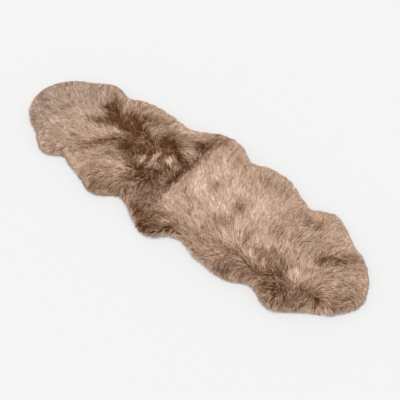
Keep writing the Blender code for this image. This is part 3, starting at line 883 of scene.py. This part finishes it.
def combed_wool(wool):
    """Dyed sheep's wool: matt and soft, pale at its tips and deep brown towards the roots.

    The pale tips are partly dyed and partly painted light, standing in for light passing through the wool.
    """
    material, shader, node = new_material("dyed_sheep_wool")
    along = node("ShaderNodeAttribute", attribute_name="along").outputs["Fac"]
    tone = node("ShaderNodeAttribute", attribute_name="tone").outputs["Fac"]
    shadowed = node("ShaderNodeAttribute", attribute_name="shadowed").outputs["Fac"]
    # From light wool to painted shade where it is parted, and to a painted highlight on light tufts and the
    # rim
    stops = ((0.0, wool.light_root), (0.6, wool.light_middle), (1.0, wool.light_tip))
    light = node("ShaderNodeValToRGB", {"Fac": along}, stops).outputs["Color"]
    stops = ((0.0, wool.painted_shade_root), (1.0, wool.painted_shade_tip))
    dark = node("ShaderNodeValToRGB", {"Fac": along}, stops).outputs["Color"]
    share = node("ShaderNodeClamp", {"Value": shadowed}).outputs[0]
    mixed = {"Factor": share, MIX_FROM: light, MIX_TO: dark}
    colour = node("ShaderNodeMix", mixed, data_type="RGBA").outputs[MIX_COLOUR]
    highlight_share = node("ShaderNodeMath", {0: shadowed, 1: -1.0}, operation="MULTIPLY", use_clamp=True).outputs[0]
    mixed = {"Factor": highlight_share, MIX_FROM: colour, MIX_TO: linear(wool.painted_highlight)}
    colour = node("ShaderNodeMix", mixed, data_type="RGBA").outputs[MIX_COLOUR]
    # Each lock has its tone, and fibres of about half a millimetre as streaks along it
    swing = node("ShaderNodeMath", {0: share, 1: 0.02, 2: 0.22}, operation="MULTIPLY_ADD").outputs[0]
    level = node("ShaderNodeMath", {0: tone, 1: swing, 2: 1.0}, operation="MULTIPLY_ADD").outputs[0]
    place = node("ShaderNodeUVMap", uv_map="strand").outputs["UV"]
    place = node("ShaderNodeMapping", {"Vector": place, "Scale": (24.0, 2.5, 1.0)}).outputs[0]
    fibre = node("ShaderNodeTexNoise", {"Vector": place, "Scale": 1.0, "Detail": 2.0}).outputs["Fac"]
    limits = {"Value": fibre, "From Min": 0.3, "From Max": 0.7, "To Min": 0.80, "To Max": 1.15}
    streak = node("ShaderNodeMapRange", limits).outputs[0]
    level = node("ShaderNodeMath", {0: level, 1: streak}, operation="MULTIPLY").outputs[0]
    # Paler fibres are less full in colour
    full = node("ShaderNodeMath", {0: level, 1: -0.42, 2: 1.42}, operation="MULTIPLY_ADD").outputs[0]
    # The wool at the left head end has faded to a greyer beige
    spot = node("ShaderNodeTexCoord").outputs["Object"]
    spot = node("ShaderNodeSeparateXYZ", {"Vector": spot}).outputs["X"]
    limits = {"Value": spot, "From Min": -0.80, "From Max": -0.45, "To Min": 0.84, "To Max": 1.0}
    kept = node("ShaderNodeMapRange", limits).outputs[0]
    full = node("ShaderNodeMath", {0: full, 1: kept}, operation="MULTIPLY").outputs[0]
    shaded = node("ShaderNodeHueSaturation", {"Saturation": full, "Value": level, "Color": colour})
    material.node_tree.links.new(shaded.outputs[0], shader.inputs["Base Color"])
    shader.inputs["Roughness"].default_value = 0.85
    shader.inputs["Specular IOR Level"].default_value = 0.12
    shader.inputs["Sheen Weight"].default_value = 0.05
    shader.inputs["Sheen Roughness"].default_value = 0.5
    return material


def dense_undercoat(wool):
    """The short dense wool next to the hide: brown and dull, with fine curls 2 mm across."""
    material, shader, node = new_material("wool_undercoat")
    place = node("ShaderNodeTexCoord").outputs["Object"]
    curls = node("ShaderNodeTexNoise", {"Vector": place, "Scale": 1 / 0.002, "Detail": 2.0}).outputs["Fac"]
    # Painted shade from the patches darkens the undercoat where the wool above is parted
    shadowed = node("ShaderNodeAttribute", attribute_name="shadowed").outputs["Fac"]
    stops = ((0.4, wool.light_root), (1.0, wool.light_middle))
    light = node("ShaderNodeValToRGB", {"Fac": curls}, stops).outputs["Color"]
    stops = ((0.4, wool.painted_shade_root), (1.0, wool.painted_shade_tip))
    dark = node("ShaderNodeValToRGB", {"Fac": curls}, stops).outputs["Color"]
    share = node("ShaderNodeClamp", {"Value": shadowed}).outputs[0]
    mixed = {"Factor": share, MIX_FROM: light, MIX_TO: dark}
    colour = node("ShaderNodeMix", mixed, data_type="RGBA").outputs[MIX_COLOUR]
    material.node_tree.links.new(colour, shader.inputs["Base Color"])
    bump = node("ShaderNodeBump", {"Strength": 0.8, "Distance": 0.001, "Height": curls})
    material.node_tree.links.new(bump.outputs[0], shader.inputs["Normal"])
    shader.inputs["Roughness"].default_value = 0.95
    return material


def suede_hide(hide):
    """Tanned suede: matt, pale and mottled in patches 8 cm across, with a fine nap 1.5 mm across."""
    material, shader, node = new_material("tanned_suede")
    place = node("ShaderNodeTexCoord").outputs["Object"]
    mottle = node("ShaderNodeTexNoise", {"Vector": place, "Scale": 1 / 0.080, "Detail": 5.0}).outputs["Fac"]
    shade = node("ShaderNodeMapRange", {"Value": mottle, "To Min": 0.82, "To Max": 1.12}).outputs[0]
    colour = node("ShaderNodeHueSaturation", {"Value": shade, "Color": linear(hide.hide_colour)})
    material.node_tree.links.new(colour.outputs[0], shader.inputs["Base Color"])
    nap = node("ShaderNodeTexNoise", {"Vector": place, "Scale": 1 / 0.0015, "Detail": 2.0}).outputs["Fac"]
    bump = node("ShaderNodeBump", {"Strength": 0.4, "Distance": 0.0004, "Height": nap})
    material.node_tree.links.new(bump.outputs[0], shader.inputs["Normal"])
    shader.inputs["Roughness"].default_value = 0.9
    return material


def pelt_grid(survey, pelt, cell):
    """A flat grid over a pelt's slab, trimmed to its outline and with a smoothed edge."""
    lo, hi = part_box(pelt)
    size, middle = hi - lo, (lo + hi) / 2
    bm = bmesh.new()
    columns, rows = math.ceil(size.x / cell), math.ceil(size.y / cell)
    bmesh.ops.create_grid(bm, x_segments=columns, y_segments=rows, size=0.5)
    bmesh.ops.scale(bm, verts=bm.verts, vec=(size.x, size.y, 1.0))
    bmesh.ops.translate(bm, verts=bm.verts, vec=(middle.x, middle.y, 0.0))
    places = np.array([v.co for v in bm.verts])
    levels = survey.read(survey.inside, places[:, 0], places[:, 1])
    outside = [v for v, level in zip(bm.verts, levels) if level < GRID_LEVEL]
    bmesh.ops.delete(bm, geom=outside, context="VERTS")
    for _ in range(GRID_SMOOTHINGS):
        edge = [v for v in bm.verts if v.is_boundary and abs(v.co.x - SEAM_X) > cell]
        bmesh.ops.smooth_vert(bm, verts=edge, factor=0.5, use_axis_x=True, use_axis_y=True)
    return bm


def close_below(bm, height):
    """Closes a sheet into a solid with a copy of itself below, flat at the given height."""
    made = bmesh.ops.extrude_face_region(bm, geom=bm.faces[:], use_keep_orig=True)["geom"]
    for vert in (item for item in made if isinstance(item, bmesh.types.BMVert)):
        vert.co.z = height
    bmesh.ops.recalc_face_normals(bm, faces=bm.faces)


def from_bmesh(name, bm):
    """A mesh from a bmesh, shaded smooth."""
    for face in bm.faces:
        face.smooth = True
    mesh = bpy.data.meshes.new(name)
    bm.to_mesh(mesh)
    bm.free()
    return mesh


def add_piece(name, mesh, material, pelt):
    """A finished piece in the scene, riding on the rug and standing for its pelt's solid."""
    piece = bpy.data.objects.new(name, mesh)
    bpy.context.scene.collection.objects.link(piece)
    mesh.materials.append(material)
    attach(piece, "root")
    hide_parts(pelt)
    return piece


class RUG_OT_undercoat(bpy.types.Operator):
    """Makes the dense undercoat of both pelts."""

    bl_idname = "rug.undercoat"
    bl_label = "Undercoat"

    def execute(self, context):
        settings = context.scene.rug_hide
        survey = survey_of_solids()
        material = dense_undercoat(context.scene.rug_wool)
        for pelt in PELTS:
            bm = pelt_grid(survey, pelt, settings.grid_cell)
            places = np.array([v.co for v in bm.verts])
            heights = survey.read(survey.height, places[:, 0], places[:, 1])
            for vert, height in zip(bm.verts, heights):
                vert.co.z = settings.undercoat_share * height
            close_below(bm, settings.hide_thickness + UNDERCOAT_GAP)
            name = pelt.replace("pelt", "undercoat")
            mesh = from_bmesh(name, bm)
            places = np.array([v.co for v in mesh.vertices])
            # The patches' painted shade, which darkens the undercoat
            dark = darkness(places[:, 0], places[:, 1])
            mesh.attributes.new("shadowed", "FLOAT", "POINT").data.foreach_set("value", dark)
            add_piece(name, mesh, material, pelt)
        return {"FINISHED"}


class RUG_OT_wool(bpy.types.Operator):
    """Makes the long wool of both pelts, each in three pieces from left to right."""

    bl_idname = "rug.wool"
    bl_label = "Wool"

    def execute(self, context):
        wool = context.scene.rug_wool
        survey = survey_of_solids()
        material = combed_wool(wool)
        shape = lock_shape()
        for number, pelt in enumerate(PELTS):
            random = np.random.default_rng(SEED + number)
            locks = Locks(survey, pelt, wool, random)
            paths = locks.paths(survey)
            painted_shading = locks.painted_shading(paths)
            order = np.argsort(locks.tuft[:, 0], kind="stable")
            for part, chosen in zip("abc", np.array_split(order, 3)):
                name = pelt.replace("pelt", "wool") + "_" + part
                mesh = wool_mesh(name, paths, painted_shading, locks, np.sort(chosen), shape)
                add_piece(name, mesh, material, pelt)
        return {"FINISHED"}


class RUG_OT_hide(bpy.types.Operator):
    """Makes the tanned hide under each pelt's wool, once the wool that grows from it is there."""

    bl_idname = "rug.hide"
    bl_label = "Hide"

    def execute(self, context):
        settings = context.scene.rug_hide
        survey = survey_of_solids()
        material = suede_hide(settings)
        for pelt, (flat, area) in FLAT_HIDES.items():
            bm = pelt_grid(survey, pelt, settings.grid_cell)
            for vert in bm.verts:
                vert.co.z = settings.hide_thickness
            close_below(bm, 0.0)
            name = pelt.replace("pelt", "hide")
            hide = add_piece(name, from_bmesh(name, bm), material, pelt)
        return {"FINISHED"}


class RUG_OT_stage(bpy.types.Operator):
    """Makes the pale floor, the soft light and the camera."""

    bl_idname = "rug.stage"
    bl_label = "Stage"

    def execute(self, context):
        settings = context.scene.rug_stage
        self.add_floor(context, settings)
        self.add_light(context, settings)
        self.add_camera(context, settings)
        context.scene.view_settings.view_transform = "Standard"
        return {"FINISHED"}

    def add_floor(self, context, settings):
        """A wide matt floor that isn't part of the rug."""
        bm = bmesh.new()
        bmesh.ops.create_grid(bm, x_segments=1, y_segments=1, size=FLOOR_HALF)
        floor = bpy.data.objects.new("floor", from_bmesh("floor", bm))
        context.scene.collection.objects.link(floor)
        material, shader, _ = new_material("matt_pale_floor")
        shader.inputs["Base Color"].default_value = linear(settings.floor_colour)
        shader.inputs["Roughness"].default_value = 1.0
        shader.inputs["Specular IOR Level"].default_value = 0.0
        floor.data.materials.append(material)

    def add_light(self, context, settings):
        """An even light all round, and a wide soft key from far away, so that the floor is lit evenly."""
        world = bpy.data.worlds.new("studio")
        world.use_nodes = True
        sky = world.node_tree.nodes["Background"]
        sky.inputs["Color"].default_value = (1.0, 1.0, 1.0, 1.0)
        sky.inputs["Strength"].default_value = settings.sky_strength
        context.scene.world = world
        data = bpy.data.lights.new("key", "SUN")
        data.angle = KEY_ANGLE
        data.energy = settings.key_strength
        light = bpy.data.objects.new("key", data)
        context.scene.collection.objects.link(light)
        light.rotation_euler = (-Vector(KEY_SOURCE)).to_track_quat("-Z", "Y").to_euler()

    def add_camera(self, context, settings):
        """The camera at the photograph's angle."""
        data = bpy.data.cameras.new("camera")
        data.lens = settings.lens_mm
        data.clip_end = CAMERA_CLIP
        camera = bpy.data.objects.new("camera", data)
        context.scene.collection.objects.link(camera)
        place, target = Vector(settings.camera_place), Vector(settings.camera_target)
        camera.location = place
        camera.rotation_euler = (target - place).to_track_quat("-Z", "Y").to_euler()
        context.scene.camera = camera


class RUG_PT_panel(bpy.types.Panel):
    """Lists the rug's pieces and settings."""

    bl_idname = "RUG_PT_panel"
    bl_label = "Sheepskin Rug"
    bl_space_type = "VIEW_3D"
    bl_region_type = "UI"
    bl_category = "Rug"

    def draw(self, context):
        for settings, operators in (
            (context.scene.rug_wool, ("rug.undercoat", "rug.wool")),
            (context.scene.rug_hide, ("rug.hide",)),
            (context.scene.rug_stage, ("rug.stage",)),
        ):
            box = self.layout.box()
            for name in settings.__annotations__:
                box.prop(settings, name)
            for operator in operators:
                box.operator(operator)


SETTINGS = {"rug_wool": RugWoolSettings, "rug_hide": RugHideSettings, "rug_stage": RugStageSettings}
CLASSES = (*SETTINGS.values(), RUG_OT_undercoat, RUG_OT_wool, RUG_OT_hide, RUG_OT_stage, RUG_PT_panel)


def register():
    for cls in CLASSES:
        bpy.utils.register_class(cls)
    for name, cls in SETTINGS.items():
        setattr(bpy.types.Scene, name, PointerProperty(type=cls))


def unregister():
    for name in SETTINGS:
        delattr(bpy.types.Scene, name)
    for cls in reversed(CLASSES):
        bpy.utils.unregister_class(cls)


def main():
    """Makes every piece."""
    register()
    bpy.ops.rug.undercoat()
    bpy.ops.rug.wool()
    bpy.ops.rug.hide()
    bpy.ops.rug.stage()


if __name__ == "__main__":
    main()
